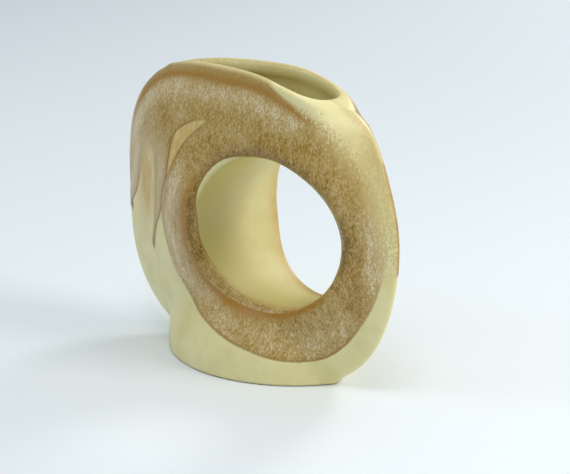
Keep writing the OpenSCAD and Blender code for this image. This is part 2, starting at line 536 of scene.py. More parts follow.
@dataclass
class SurfaceNet:
    """Mesh of the zero surface of a field, one vertex in each cell that the surface crosses."""

    field: np.ndarray
    origin: tuple[float, float, float]
    step: float
    settle_rounds: int = 3
    settle_mm: float = 0.4
    least_slope: float = 0.3

    def solve(self) -> tuple[np.ndarray, np.ndarray]:
        """Places the vertices and joins them.

        Returns:
            Vertex places in millimetres, and the corner numbers of each four-sided face.
        """
        inside = self.field < 0
        shape = np.array(self.field.shape) - 1
        corners = [(i, j, k) for i in (0, 1) for j in (0, 1) for k in (0, 1)]
        count = sum(
            inside[i : i + shape[0], j : j + shape[1], k : k + shape[2]].astype(np.int8)
            for i, j, k in corners
        )
        cells = np.argwhere((count > 0) & (count < 8))
        number = np.full(shape, -1, dtype=np.int64)
        number[tuple(cells.T)] = np.arange(len(cells))
        points = self._place(cells)
        faces = np.concatenate([self._faces(axis, inside, number) for axis in range(3)])
        points = self._settle(points * self.step + np.array(self.origin))
        return points, faces

    def _place(self, cells: np.ndarray) -> np.ndarray:
        """Mean of the places where the surface crosses the edges of each cell.

        Args:
            cells: Numbers of the cells that the surface crosses.

        Returns:
            Places in grid steps.
        """
        total = np.zeros((len(cells), 3))
        hits = np.zeros(len(cells))
        for axis in range(3):
            ahead = np.eye(3, dtype=int)[axis]
            others = [np.eye(3, dtype=int)[k] for k in range(3) if k != axis]
            for a in (0, 1):
                for b in (0, 1):
                    start = cells + a * others[0] + b * others[1]
                    low = self.field[tuple(start.T)]
                    high = self.field[tuple((start + ahead).T)]
                    crossed = (low < 0) != (high < 0)
                    way = low / np.where(crossed, low - high, 1)
                    total += np.where(crossed[:, None], start + way[:, None] * ahead, 0)
                    hits += crossed
        return total / hits[:, None]

    def _faces(self, axis: int, inside: np.ndarray, number: np.ndarray) -> np.ndarray:
        """Four-sided faces across the grid edges that run along one axis.

        Args:
            axis: Number of the axis.
            inside: Whether each point of the grid lies in the clay.
            number: Vertex number of each cell.

        Returns:
            Four vertex numbers for each face.
        """
        ahead = np.eye(3, dtype=int)[axis]
        u, v = (np.eye(3, dtype=int)[(axis + k) % 3] for k in (1, 2))
        size = np.array(inside.shape) - ahead
        low = inside[: size[0], : size[1], : size[2]]
        high = inside[ahead[0] :, ahead[1] :, ahead[2] :]
        edges = np.argwhere(low != high)
        edges = edges[(edges[:, (axis + 1) % 3] > 0) & (edges[:, (axis + 2) % 3] > 0)]
        around = [edges - u - v, edges - v, edges, edges - u]
        quads = np.stack([number[tuple(c.T)] for c in around], axis=1)
        leaving = low[tuple(edges.T)]
        quads[~leaving] = quads[~leaving][:, ::-1]
        return quads

    def value(self, grid: np.ndarray, points: np.ndarray) -> np.ndarray:
        """Value of any field of the same grid at the given points.

        Args:
            grid: The field.
            points: Places in millimetres.

        Returns:
            One value for each point.
        """
        return self._sample(grid, (points - np.array(self.origin)) / self.step)

    def normals(self, points: np.ndarray) -> np.ndarray:
        """Outward directions of the surface.

        Args:
            points: Places on the surface, in millimetres.

        Returns:
            Unit vectors.
        """
        slopes = np.gradient(self.field, self.step)
        slope = np.stack([self.value(s, points) for s in slopes], axis=1)
        return slope / np.maximum(np.linalg.norm(slope, axis=1, keepdims=True), 1e-6)

    def _settle(self, points: np.ndarray) -> np.ndarray:
        """Moves the vertices onto the zero surface along the slope of the field.

        Args:
            points: Places in millimetres.

        Returns:
            The places on the surface.
        """
        slopes = np.gradient(self.field, self.step)
        for _ in range(self.settle_rounds):
            place = (points - np.array(self.origin)) / self.step
            value = self._sample(self.field, place)
            slope = np.stack([self._sample(s, place) for s in slopes], axis=1)
            length = np.maximum((slope**2).sum(axis=1), self.least_slope)
            way = np.clip(value / length, -self.settle_mm, self.settle_mm)
            points = points - way[:, None] * slope
        return points

    @staticmethod
    def _sample(grid: np.ndarray, place: np.ndarray) -> np.ndarray:
        """Value of a grid between its points.

        Args:
            grid: The field.
            place: Places in grid steps.

        Returns:
            One value for each place.
        """
        base = np.clip(np.floor(place).astype(int), 0, np.array(grid.shape) - 2)
        part = place - base
        total = np.zeros(len(place))
        for i in (0, 1):
            for j in (0, 1):
                for k in (0, 1):
                    weight = np.prod(np.where((i, j, k), part, 1 - part), axis=1)
                    total += weight * grid[tuple((base + (i, j, k)).T)]
        return total


@dataclass(frozen=True)
class GlazeEdge:
    """Edge of the running glaze on one face, as strands of width and height in millimetres.

    Each strand is a smooth curve through its points, and the strands meet in sharp corners.
    """

    strands: tuple[tuple[tuple[float, float], ...], ...]
    steps: int = 4

    def _smooth(self, strand: tuple[tuple[float, float], ...]) -> np.ndarray:
        """Points on a smooth curve through one strand, without its last point.

        Args:
            strand: Places on the strand.

        Returns:
            Width and height of each point.
        """
        p = np.array(strand)
        p = np.vstack([2 * p[0] - p[1], p, 2 * p[-1] - p[-2]])
        t = np.arange(self.steps)[:, None] / self.steps
        parts = []
        for a, b, c, d in zip(p[:-3], p[1:-2], p[2:-1], p[3:]):
            bend = (2 * a - 5 * b + 4 * c - d) * t**2 + (3 * b - a - 3 * c + d) * t**3
            parts.append((2 * b + (c - a) * t + bend) / 2)
        return np.vstack(parts)

    def distance(self, x: np.ndarray, z: np.ndarray) -> np.ndarray:
        """Distance from the edge, more than zero under the glaze.

        Args:
            x: Width of each point.
            z: Height of each point.

        Returns:
            The signed distance in millimetres.
        """
        loop = np.vstack([self._smooth(strand) for strand in self.strands])
        best = np.full(len(x), 1e9)
        inside = np.zeros(len(x), dtype=bool)
        for (ax, az), (bx, bz) in zip(loop, np.roll(loop, -1, axis=0)):
            wx, wz = bx - ax, bz - az
            way = np.clip(((x - ax) * wx + (z - az) * wz) / (wx * wx + wz * wz + 1e-9), 0, 1)
            best = np.minimum(best, (x - ax - way * wx) ** 2 + (z - az - way * wz) ** 2)
            if az != bz:
                crosses = (az > z) != (bz > z)
                inside ^= crosses & (x < ax + (z - az) * wx / wz)
        return np.where(inside, 1, -1) * np.sqrt(best)


FRONT_EDGE = GlazeEdge(
    strands=(
        ((-135, 86), (-118, 80), (-110, 77), (-106, 82), (-96, 91), (-89, 103), (-84.5, 113)),
        (
            (-84.5, 113), (-79, 121.5), (-73, 124), (-66, 122.5),
            (-63.5, 116), (-63, 105), (-66.5, 79),
        ),
        ((-66.5, 79), (-70, 70), (-72, 63.5), (-70.5, 61), (-68, 64), (-65.5, 71), (-62, 78)),
        ((-62, 78), (-56.5, 86), (-50, 99), (-46, 109), (-44, 122), (-42.5, 134), (-40, 139.5)),
        ((-40, 139.5), (-33, 144), (-23, 148), (-13, 149.3)),
        (
            (-13, 149.3), (-20, 144.3), (-28, 137.5), (-34.5, 129.5),
            (-42, 117), (-50, 103), (-54.5, 92),
        ),
        ((-54.5, 92), (-53, 82), (-48, 68), (-43, 52), (-34, 41.5), (-19, 34), (-3, 28.5)),
        (
            (-3, 28.5), (13, 23.2), (27, 19.6), (40, 16.4),
            (50, 15.2), (58, 15.4), (66, 17.4), (75, 23),
        ),
        ((75, 23), (84, 31), (93, 42), (101, 55), (106, 68), (108, 78), (108.5, 92), (104, 111)),
        ((104, 111), (97, 126), (88, 139), (77, 151), (66, 159), (54, 166), (42, 172), (30, 180)),
        ((30, 180), (15, 200), (-135, 200)),
    )
)

BACK_EDGE = GlazeEdge(
    strands=(
        (
            (-135, 70), (-116, 62), (-108, 58), (-104, 66),
            (-98, 84), (-90, 96), (-82, 99), (-75, 90),
        ),
        ((-75, 90), (-72, 74), (-70, 55), (-67, 52), (-64.5, 56), (-63, 74), (-58, 88), (-51, 92)),
        (
            (-51, 92), (-46, 80), (-45, 60), (-38, 45), (-22, 33),
            (0, 26), (22, 21), (44, 17), (62, 20),
        ),
        ((62, 20), (78, 28), (91, 42), (99, 52), (103, 49), (107, 55), (112, 72), (122, 84)),
        ((122, 84), (135, 100), (135, 190), (90, 200), (30, 200), (-135, 200)),
    )
)


@dataclass(frozen=True)
class Chip:
    """Small chip where the glaze is missing, as a place and a radius in millimetres."""

    x: float
    y: float
    z: float
    radius: float


CHIPS = (
    Chip(-36.5, -9.5, 179.8, 1.3),
    Chip(-33.0, -10.5, 180.2, 0.8),
    Chip(22.5, -17.6, 178.9, 1.0),
    Chip(69.8, -14.0, 163.1, 0.7),
    Chip(64.5, -11.0, 4.5, 1.6),
)


@dataclass(frozen=True)
class Bead:
    """Dark drop where a run of glaze stopped, in millimetres."""

    x: float
    z: float
    wide: float
    tall: float


BEADS = (Bead(-108.5, 79.5, 3.0, 4.0), Bead(-70.6, 63.5, 1.7, 3.4))


class Region(Enum):
    """Parts of the vase that marks in the glaze belong to."""

    ANYWHERE = "anywhere"
    TOP = "upper part of the faces"
    LEFT = "faces left of the window"
    LOW = "lower half of the window's rim"
    HIGH = "upper half of the window's rim"
    RIDGE = "ridge of glaze on the lower rim"


@dataclass(frozen=True)
class Mark:
    """One mark in the glaze: an amount, and where it lies by any of the measures of a point.

    The measures are width, depth and height, distance from the outline (rim), the same along the
    fold below the lip (fold), from the wall of the window (gap), round its rim (turn), past the
    edge of the glaze there (brink), from the ridge (away), from the front's glaze edge (front)
    and from the wide back of the window's wall (inward), all in millimetres.
    """

    amount: float
    region: Region = Region.ANYWHERE
    x: Shape | None = None
    y: Shape | None = None
    z: Shape | None = None
    rim: Shape | None = None
    fold: Shape | None = None
    gap: Shape | None = None
    turn: Shape | None = None
    brink: Shape | None = None
    away: Shape | None = None
    front: Shape | None = None
    inward: Shape | None = None


SOFT_MARKS = (
    Mark(0.6),  # where a run stopped
    Mark(4.2, x=Span(40, 84), y=Span(0, -3), z=Span(66, 92)),  # fade on the right shoulder
    Mark(2.5, Region.LOW, turn=Span(2, -4)),  # inside the window
    Mark(7.0, x=Swell(-76, 10), z=Swell(116, 18)),  # top of the finger between the drips
    Mark(2.2, x=Swell(-47, 9), z=Swell(66, 24)),  # left border of the band
    Mark(0.8, Region.TOP, rim=Swell(1, 2)),  # lip
)
THICK_MARKS = (
    Mark(0.47),  # everywhere
    Mark(0.22, Region.TOP, rim=Swell(15, 7), x=Span(84, 50)),  # milky run below the lip
    Mark(0.28, Region.LEFT, front=Swell(9, 6)),  # milky glaze that paints the highlight on the band left of the window
    Mark(0.16, front=Swell(9, 7), z=Span(58, 40)),  # milky border of the lower band
    Mark(0.3, x=Swell(102.5, 5), z=Swell(84, 26)),  # milky run down the right side
    Mark(0.34, x=Span(-84, -108), z=Swell(138, 26)),  # pale left edge
    Mark(0.08, x=Span(-20, -50), z=Span(112, 130)),  # above the drips
    Mark(0.06, Region.TOP, rim=Swell(17, 6), x=Span(70, 30)),  # more below the left of the lip
    Mark(-0.16, x=Swell(92, 6), z=Swell(80, 34)),  # golden run beside the milky one
    Mark(-0.3, Region.HIGH, turn=Swell(1, 6)),  # thin over the upper rim of the window
)
GRAIN_MARKS = (
    Mark(1.0),
    Mark(-0.65, Region.TOP, rim=Span(9, 4)),  # calm lip
    Mark(-0.65, x=Span(-40, -58), z=Span(140, 116)),  # calm drips
)
BURN_MARKS = (
    Mark(0.8, Region.TOP, fold=Swell(7.2, 2.8), x=Span(96, 66)),  # line below the lip
    Mark(1.0, Region.RIDGE, away=Swell(3.2, 3.4)),  # outside the ridge on the lower rim
    Mark(1.5, Region.LEFT, turn=Swell(8, 3), z=Swell(86, 22)),  # stripe left of the window
    Mark(0.7, front=Swell(1.2, 1.4), x=Swell(-38, 12), z=Swell(124, 16)),  # fringe of the leaf
    Mark(0.5, Region.HIGH, turn=Swell(0, 2.2), y=Span(0, 6)),  # back rim of the window
)
STAIN_MARKS = (
    Mark(1.1, x=Swell(-77, 15), z=Swell(102, 24)),  # between the drips
    # the leaf of bare cream glaze above the window
    Mark(0.9, front=Span(0.5, -0.5), x=Stretch(Span(-66, -50), Span(0, -12)), z=Span(74, 104)),
    Mark(0.45, x=Swell(96, 16), z=Swell(132, 28)),  # right shoulder
    Mark(0.15, Region.TOP, rim=Span(3, 1), x=Span(60, 30)),  # lip
    Mark(0.75, turn=Swell(-3, 7), y=Span(2, 12), gap=Span(9, 3)),  # back edge of the window's wall
)
PAINTED_SHADE_MARKS = (
    Mark(0.25, gap=Span(5, 1), turn=Span(2, -6)),  # painted shade and bounce light on the wall of the window
    Mark(0.75, gap=Span(5, 1), turn=Span(2, -6), inward=Span(34, -10)),  # more painted shade toward the front of the wall
)
DRIP_LINES = Mark(0.75, x=Span(-36, -44), z=Span(58, 66))
FINGER = Mark(1.4, x=Swell(-77, 13), z=Swell(120, 21))
LEAF_LINE = Mark(0.7, front=Swell(0, 3), x=Swell(-34, 16), z=Span(112, 124))
BAND_LINES = (
    Mark(0.45, z=Span(46, 30)),  # below the window
    Mark(0.3, x=Span(40, 80), z=Span(90, 60)),  # right of the window
)
CREST_LINE = Mark(0.3, x=Span(60, 90), y=Swell(0, 3))
WINDOW_LINE = Mark(0.8, Region.HIGH, brink=Swell(0, 5))


@dataclass(frozen=True)
class Brink:
    """How far the running glaze went over the rim of the window, by the angle round it."""

    reach: float = 1.5
    top: float = 3.0
    top_at: Swell = Swell(96, 24)
    corner: float = -3.5
    corner_at: Swell = Swell(134, 26)
    left: float = 6.0
    left_at: Span = Span(150, 180)
    low: float = 4.5
    low_at: Stretch = Stretch(Span(235, 270), Span(335, 300))
    right: float = -4.0
    right_at: Span = Span(290, 330)

    def at(self, angle: np.ndarray) -> np.ndarray:
        """How far the glaze went over the rim.

        Args:
            angle: Degrees round the window, from its right end over its top.

        Returns:
            Millimetres past the rim.
        """
        turn = angle % 360
        total = self.reach + self.top * self.top_at.at(turn) + self.corner * self.corner_at.at(turn)
        total = total + self.left * self.left_at.at(turn) + self.low * self.low_at.at(turn)
        return total + self.right * self.right_at.at(turn)


@dataclass(frozen=True)
class Ridge:
    """Sharp ridge of glaze on the lower rim of the window, which runs inward to the right."""

    left_turn: float = 5.5
    right_turn: float = -3.5
    left_angle: float = -145.0
    turn_per_degree: float = 0.106
    seen_at: Stretch = Stretch(Span(-160, -140), Span(-30, -50))

    def at(self, angle: np.ndarray) -> np.ndarray:
        """Where the ridge lies round the rim.

        Args:
            angle: Degrees round the window.

        Returns:
            Millimetres round the rim, more than zero on the face.
        """
        turn = self.left_turn - self.turn_per_degree * (angle - self.left_angle)
        return np.clip(turn, self.right_turn, self.left_turn)


@dataclass
class GlazeMap:
    """Glaze over the surface of the clay: where it lies, how thick it is and how it ran."""

    form: Form
    points: np.ndarray
    body: np.ndarray
    brink_of: Brink = Brink()
    ridge_of: Ridge = Ridge()
    # The run is pressed together along its length so that noise turns into streaks.
    run_share: float = 2.6
    bend_share: float = 0.62
    depth_share: float = 0.4
    # Regions and measures.
    top_z: Span = Span(105, 150)
    low_drop: Span = Span(10, 38)
    left_way: Span = Span(18, 44)
    left_z: float = 86.0
    left_tall: Span = Span(48, 24)
    rim_near: Span = Span(16, 6)
    fold_drop: float = 5.0
    fold_x: Span = Span(30, 80)
    inward_share: float = 0.4
    front_side: Span = Span(0, -6)
    # Edge of the running glaze where the two faces meet, at the lip and inside.
    crest_left: Span = Span(-2.5, 2.5)
    crest_right: Span = Span(0, 40)
    crest_slope: float = 3.0
    back_lap: float = 0.6
    lip_clear: float = 0.8
    lip_end: Span = Span(-62, -84)
    lip_foot: Span = Span(140, 110)
    back_short: float = 4.0
    back_side: Span = Span(0, 8)
    slot_in: Span = Span(1.2, 3)
    slot_z: Span = Span(146, 152)
    hollow_in: Span = Span(4, 5)
    hollow_gap: Span = Span(4.5, 6)
    line_turn: Span = Span(4, 10)
    line_rim: Span = Span(4, 9)
    line_top: Span = Span(150, 130)
    bead_edge: Span = Span(1.5, 0.6)
    bead_side: Span = Span(2, -1)
    foot_bare: Span = Span(1.1, 0.5)
    # Relief, and the limits of what the layers of the mesh hold.
    layer_mm: float = 0.22
    layer_edge: Span = Span(-0.6, 1.4)
    layer_soft: Span = Span(3, 0.6)
    roll_mm: float = 0.16
    roll_edge: Swell = Swell(1.2, 1.0)
    roll_soft: Span = Span(1.5, 0.5)
    ridge_mm: float = 0.3
    ridge_edge: Swell = Swell(0, 1.2)
    chip_mm: float = 0.5
    chip_edge: Span = Span(0.4, -0.8)
    far: float = 40.0
    veil_limit: float = 16.0
    crest_limit: float = 6.0
    chip_limit: float = 4.0

    def __post_init__(self) -> None:
        """Measures each point against the rim, the window and the edges of the glaze."""
        form = self.form
        self.x, self.y, self.z = self.points.T
        self.rim = form.outline(self.x, self.z) - np.hypot(self.x, self.z - form.waist_z)
        self.fold = self.rim - self.fold_drop * self.fold_x.at(self.x)
        self.gap = form.window_gap(self.x, self.z)
        depth = np.clip(form.face_half(self.x, self.z) - np.abs(self.y), 0, None)
        self.turn = self.gap - depth * self.rim_near.at(self.gap)
        self.angle = np.degrees(np.arctan2(self.z - form.window_z, self.x - form.window_x))
        self.brink = self.turn + self.brink_of.at(self.angle)
        self.away = self.turn - self.ridge_of.at(self.angle)
        self.front = FRONT_EDGE.distance(self.x, self.z)
        self.back = BACK_EDGE.distance(self.x, self.z)
        self.inward = self.y + self.inward_share * (form.window_x - self.x)
        low = self.low_drop.at(form.window_z - self.z)
        left = self.left_way.at(form.window_x - self.x)
        self.regions = {
            Region.ANYWHERE: np.ones(len(self.x)),
            Region.TOP: self.top_z.at(self.z),
            Region.LEFT: left * self.left_tall.at(np.abs(self.z - self.left_z)),
            Region.LOW: low,
            Region.HIGH: 1 - low,
            Region.RIDGE: self.ridge_of.seen_at.at(self.angle) * self.front_side.at(self.y),
        }

    def weigh(self, *marks: Mark) -> np.ndarray:
        """Adds up marks.

        Args:
            marks: Marks in the glaze.

        Returns:
            Their sum at each point.
        """
        total = np.zeros(len(self.x))
        for mark in marks:
            weight = mark.amount * self.regions[mark.region]
            for field in fields(mark)[2:]:
                shape = getattr(mark, field.name)
                if shape is not None:
                    weight = weight * shape.at(getattr(self, field.name))
            total += weight
        return total

    def veil(self) -> np.ndarray:
        """Distance from the edge of the running glaze, more than zero under it.

        Returns:
            Millimetres, cut off far from the edge.
        """
        left = self.front + (self.back - self.front) * self.crest_left.at(self.y)
        right = np.minimum(self.back, self.y + self.back_lap)
        right = np.maximum(np.minimum(self.front, -self.crest_slope * self.y), right)
        veil = left + (right - left) * self.crest_right.at(self.x)
        beyond = self.lip_end.at(self.x) + self.lip_foot.at(self.z)
        veil = np.minimum(veil, self.rim - self.lip_clear + self.far * beyond)
        veil = np.minimum(veil, self.brink - self.back_short * self.back_side.at(self.y))
        slot = self.slot_in.at(-self.body) * self.slot_z.at(self.z)
        hollow = self.hollow_in.at(-self.body) * self.hollow_gap.at(self.gap)
        veil = veil - self.far * np.maximum(slot, hollow)
        return np.clip(veil, -self.veil_limit, self.veil_limit)

    def crest(self) -> np.ndarray:
        """Distance in millimetres from the ridge on the window's rim, to either side."""
        hidden = self.crest_limit * (1 - self.regions[Region.RIDGE])
        return np.clip(np.abs(self.away) + hidden, 0, self.crest_limit)

    def soft(self) -> np.ndarray:
        """Width in millimetres over which the edge of the running glaze fades."""
        return self.weigh(*SOFT_MARKS)

    def edge(self) -> np.ndarray:
        """Strength of the dark line that the running glaze leaves where it stopped.

        Returns:
            A share from 0 to 1.
        """
        drips = self.weigh(DRIP_LINES) * (1 - np.clip(self.weigh(FINGER), 0, 1))
        others = [self.weigh(LEAF_LINE), self.weigh(*BAND_LINES), self.weigh(CREST_LINE)]
        line = np.maximum.reduce([drips, *others])
        rim = self.rim + self.far * self.line_top.at(self.z)
        line = line * self.line_turn.at(self.turn) * self.line_rim.at(rim)
        return np.clip(np.maximum(line, self.weigh(WINDOW_LINE)), 0, 1)

    def bead(self) -> np.ndarray:
        """Dark drops where a run of glaze stopped.

        Returns:
            A share from 0 to 1.
        """
        total = np.zeros(len(self.x))
        for bead in BEADS:
            away = np.hypot((self.x - bead.x) / bead.wide, (self.z - bead.z) / bead.tall)
            total = np.maximum(total, self.bead_edge.at(away))
        return total * self.bead_side.at(self.y)

    def thickness(self) -> np.ndarray:
        """How thick the running glaze lies: thin breaks brown, thick turns milky."""
        return np.clip(self.weigh(*THICK_MARKS), 0, 1)

    def grain(self) -> np.ndarray:
        """How strongly the running glaze is speckled: the lip and the drips are calm."""
        return np.clip(self.weigh(*GRAIN_MARKS), 0, 1)

    def burn(self) -> np.ndarray:
        """How far the glaze burned to orange brown, where it drew thin over an edge."""
        return np.clip(self.weigh(*BURN_MARKS), 0, 1)

    def stain(self) -> np.ndarray:
        """How far the cream glaze is stained by the running glaze beside it."""
        return np.clip(self.weigh(*STAIN_MARKS), 0, 1)

    def pool(self) -> np.ndarray:
        """Painted shade and bounce light on the wall of the window, a deeper yellow, darkest toward
        the front.
        """
        return self.weigh(*PAINTED_SHADE_MARKS)

    def chips(self) -> np.ndarray:
        """Distance from the nearest chip, less than zero inside it.

        Returns:
            Millimetres, cut off far from the chips.
        """
        best = np.full(len(self.x), self.chip_limit)
        for chip in CHIPS:
            away = np.linalg.norm(self.points - (chip.x, chip.y, chip.z), axis=1)
            best = np.minimum(best, away - chip.radius)
        return best

    def bare(self) -> np.ndarray:
        """Share of the bare clay under the foot, where the glaze was wiped off."""
        return self.foot_bare.at(self.z)

    def flow(self) -> np.ndarray:
        """Places across the run of the glaze, along it and in depth.

        Returns:
            Millimetres, pressed together along the run so that noise streaks.
        """
        form, left = self.form, self.regions[Region.LEFT]
        start = form.window_x - form.window_w / 2
        across = self.x + left * (start - self.gap - self.x)
        angle = np.arctan2(self.z - form.window_z, form.window_x - self.x)
        curved = form.window_z + angle * form.window_h * self.bend_share
        along = self.z + left * (curved - self.z)
        return np.stack([across, along / self.run_share, self.y * self.depth_share], axis=1)

    def relief(self) -> np.ndarray:
        """How far the glaze stands out from the clay.

        Returns:
            Millimetres along the normal.
        """
        veil, soft = self.veil(), self.soft()
        layer = self.layer_mm * self.layer_edge.at(veil) * self.layer_soft.at(soft)
        roll = self.roll_mm * self.roll_edge.at(veil) * self.roll_soft.at(soft)
        ridge = self.ridge_mm * self.ridge_edge.at(self.crest())
        return layer + roll + ridge - self.chip_mm * self.chip_edge.at(self.chips())


def linear(code: str) -> tuple[float, float, float, float]:
    """Turns an sRGB hex colour into linear red, green, blue and alpha.

    Args:
        code: Colour such as "#e6dfae".

    Returns:
        Four numbers from 0 to 1.
    """
    parts = [int(code[i : i + 2], 16) / 255 for i in (1, 3, 5)]
    red, green, blue = (
        v / 12.92 if v <= 0.04045 else ((v + 0.055) / 1.055) ** 2.4 for v in parts
    )
    return red, green, blue, 1.0


def add_node(
    tree: bpy.types.NodeTree,
    kind: str,
    settings: dict[str | int, object] | None = None,
    links: dict[str | int, bpy.types.NodeSocket] | None = None,
) -> bpy.types.Node:
    """Adds a node with its settings and links.

    Args:
        tree: Node tree that the node joins.
        kind: Type name of the node.
        settings: Values of inputs, by name or number, or of properties.
        links: Outputs of other nodes to join, by the name or number of the input.

    Returns:
        The node.
    """
    node = tree.nodes.new(kind)
    for key, value in (settings or {}).items():
        if isinstance(key, str) and hasattr(node, key):
            setattr(node, key, value)
        else:
            node.inputs[key].default_value = value
    for key, source in (links or {}).items():
        tree.links.new(source, node.inputs[key])
    return node


@dataclass(frozen=True)
class GlazedStoneware:
    """Slip-cast stoneware, sprayed with a cream satin glaze, with a running brown glaze poured on.

    The cream glaze is a satin tin glaze with a little iron: soft yellow with faint clouds. The
    poured rutile glaze breaks orange brown where it draws thin over an edge, stops in dark beads,
    and turns into milky pink streaks where it runs thick. The clay shows buff under the foot.
    """

    cream: str = "#ede4ae"
    # Deeper yellow that paints the shade and bounce light on the wall of the window.
    cream_shade: str = "#e2d697"
    painted_shade_colour: str = "#c3b56a"
    # Pale colour that paints the highlight along the ridge of glaze on the window's lower rim.
    ridge: str = "#dcc494"
    stain: str = "#cfa95c"
    burnt: str = "#a97722"
    line: str = "#8f6616"
    clay: str = "#c9b795"
    # Running glaze from where it lies thin to where it lies thick.
    running: tuple[tuple[float, str], ...] = (
        (0.05, "#745619"),
        (0.22, "#957227"),
        (0.38, "#ad8b3f"),
        (0.5, "#b6995a"),
        (0.68, "#c7ab74"),
        (0.9, "#ddcca4"),
    )
    # A glaze is a glass with an index of about 1.5. Satin scatters more than the glossy pour.
    ior: float = 1.52
    gloss_roughness: float = 0.3
    cream_roughness: float = 0.4
    clay_roughness: float = 0.85
    roughness_swing: float = 0.08
    # The finest streaks are about 0.4 mm wide; they are drawn at twice that so that they show.
    streak_mm: float = 0.9
    band_mm: float = 3.4
    cloud_mm: float = 20.0
    speck_mm: float = 1.3
    noise_detail: float = 2.0
    noise_roughness: float = 0.6
    noise_low: float = 0.3
    noise_high: float = 0.7
    # How strongly each noise changes the thickness of the running glaze.
    streak_gain: float = 1.05
    speck_gain: float = 0.8
    band_gain: float = 0.5
    cloud_gain: float = 0.4
    # Satin glaze has a faint orange peel.
    bump_mm: float = 0.06
    bump_strength: float = 0.6
    # Edge of the running glaze: how ragged it is, and the dark line along it.
    ragged_low: float = 0.7
    ragged_high: float = 1.3
    ragged_swing: float = 1.1
    line_place_mm: float = 0.5
    line_full_mm: float = 0.2
    line_end_mm: float = 1.0
    ridge_highlight_half_mm: float = 0.9
    ridge_highlight_strength: float = 0.85
    ridge_low: float = 0.35
    ridge_high: float = 0.55
    burn_swing: float = 0.5
    burn_level: float = 0.72
    stain_low: float = 0.6
    stain_high: float = 1.2
    chip_bare_mm: float = -0.5
    chip_edge_mm: float = 0.3

    def build(self) -> bpy.types.Material:
        """Makes the material.

        Returns:
            The material, which reads the glaze layers of the mesh.
        """
        material = bpy.data.materials.new("glazed_stoneware")
        material.use_nodes = True
        tree = material.node_tree
        tree.nodes.clear()
        maps = self._maps(tree)
        cover = self._cover(tree, maps)
        running = self._running_colour(tree, maps)
        cream = self._cream_colour(tree, maps)
        colour = add_node(
            tree, "ShaderNodeMix", {"data_type": "RGBA"}, {"Factor": cover, 6: cream, 7: running}
        ).outputs[2]
        colour = self._edge_lines(tree, maps, colour)
        bare = add_node(
            tree,
            "ShaderNodeMapRange",
            {"From Min": self.chip_edge_mm, "From Max": self.chip_bare_mm},
            {"Value": maps["chips"]},
        ).outputs["Result"]
        bare = add_node(
            tree, "ShaderNodeMath", {"operation": "MAXIMUM"}, {0: bare, 1: maps["bare"]}
        ).outputs[0]
        colour = add_node(
            tree,
            "ShaderNodeMix",
            {"data_type": "RGBA", 7: linear(self.clay)},
            {"Factor": bare, 6: colour},
        ).outputs[2]
        bump = add_node(
            tree,
            "ShaderNodeBump",
            {"Strength": self.bump_strength, "Distance": self.bump_mm * MM},
            {"Height": maps["band"]},
        ).outputs["Normal"]
        rough = self._roughness(tree, maps, cover, bare)
        shader = add_node(
            tree,
            "ShaderNodeBsdfPrincipled",
            {"IOR": self.ior},
            {"Base Color": colour, "Roughness": rough, "Normal": bump},
        )
        add_node(tree, "ShaderNodeOutputMaterial", None, {"Surface": shader.outputs["BSDF"]})
        return material

    def _maps(self, tree: bpy.types.NodeTree) -> dict[str, bpy.types.NodeSocket]:
        """Adds what the glaze is drawn from: the mesh's layers, and noises along and across it.

        Args:
            tree: Node tree of the material.

        Returns:
            Outputs by the name of the layer or the noise.
        """
        maps = {
            name: add_node(tree, "ShaderNodeAttribute", {"attribute_name": name}).outputs["Fac"]
            for name in LAYERS
        }
        flow = add_node(tree, "ShaderNodeAttribute", {"attribute_name": "flow"}).outputs["Vector"]
        place = add_node(tree, "ShaderNodeTexCoord").outputs["Object"]
        place = add_node(
            tree, "ShaderNodeVectorMath", {"operation": "SCALE", "Scale": 1 / MM}, {0: place}
        ).outputs[0]
        for name, size, vector in (
            ("streak", self.streak_mm, flow),
            ("band", self.band_mm, flow),
            ("cloud", self.cloud_mm, place),
            ("speck", self.speck_mm, place),
        ):
            maps[name] = add_node(
                tree,
                "ShaderNodeTexNoise",
                {
                    "Scale": 1 / size,
                    "Detail": self.noise_detail,
                    "Roughness": self.noise_roughness,
                },
                {"Vector": vector},
            ).outputs["Fac"]
        return maps

    def _cover(
        self, tree: bpy.types.NodeTree, maps: dict[str, bpy.types.NodeSocket]
    ) -> bpy.types.NodeSocket:
        """Share of the running glaze: its edge is ragged, and grainy where it fades.

        Args:
            tree: Node tree of the material.
            maps: Layers and noises.

        Returns:
            The share, from 0 to 1.
        """
        grain = add_node(
            tree, "ShaderNodeMath", {"operation": "ADD"}, {0: maps["streak"], 1: maps["speck"]}
        ).outputs[0]
        grain = add_node(
            tree,
            "ShaderNodeMapRange",
            {
                "From Min": self.ragged_low,
                "From Max": self.ragged_high,
                "To Min": -self.ragged_swing,
                "To Max": self.ragged_swing,
                "clamp": False,
            },
            {"Value": grain},
        ).outputs["Result"]
        grain = add_node(
            tree, "ShaderNodeMath", {"operation": "MULTIPLY"}, {0: grain, 1: maps["grain"]}
        ).outputs[0]
        inside = add_node(
            tree,
            "ShaderNodeMath",
            {"operation": "MULTIPLY_ADD"},
            {0: grain, 1: maps["soft"], 2: maps["veil"]},
        ).outputs[0]
        inside = add_node(
            tree, "ShaderNodeMath", {"operation": "ADD"}, {0: inside, 1: maps["soft"]}
        ).outputs[0]
        width = add_node(
            tree, "ShaderNodeMath", {"operation": "MULTIPLY", 1: 2.0}, {0: maps["soft"]}
        ).outputs[0]
        return add_node(
            tree,
            "ShaderNodeMath",
            {"operation": "DIVIDE", "use_clamp": True},
            {0: inside, 1: width},
        ).outputs[0]

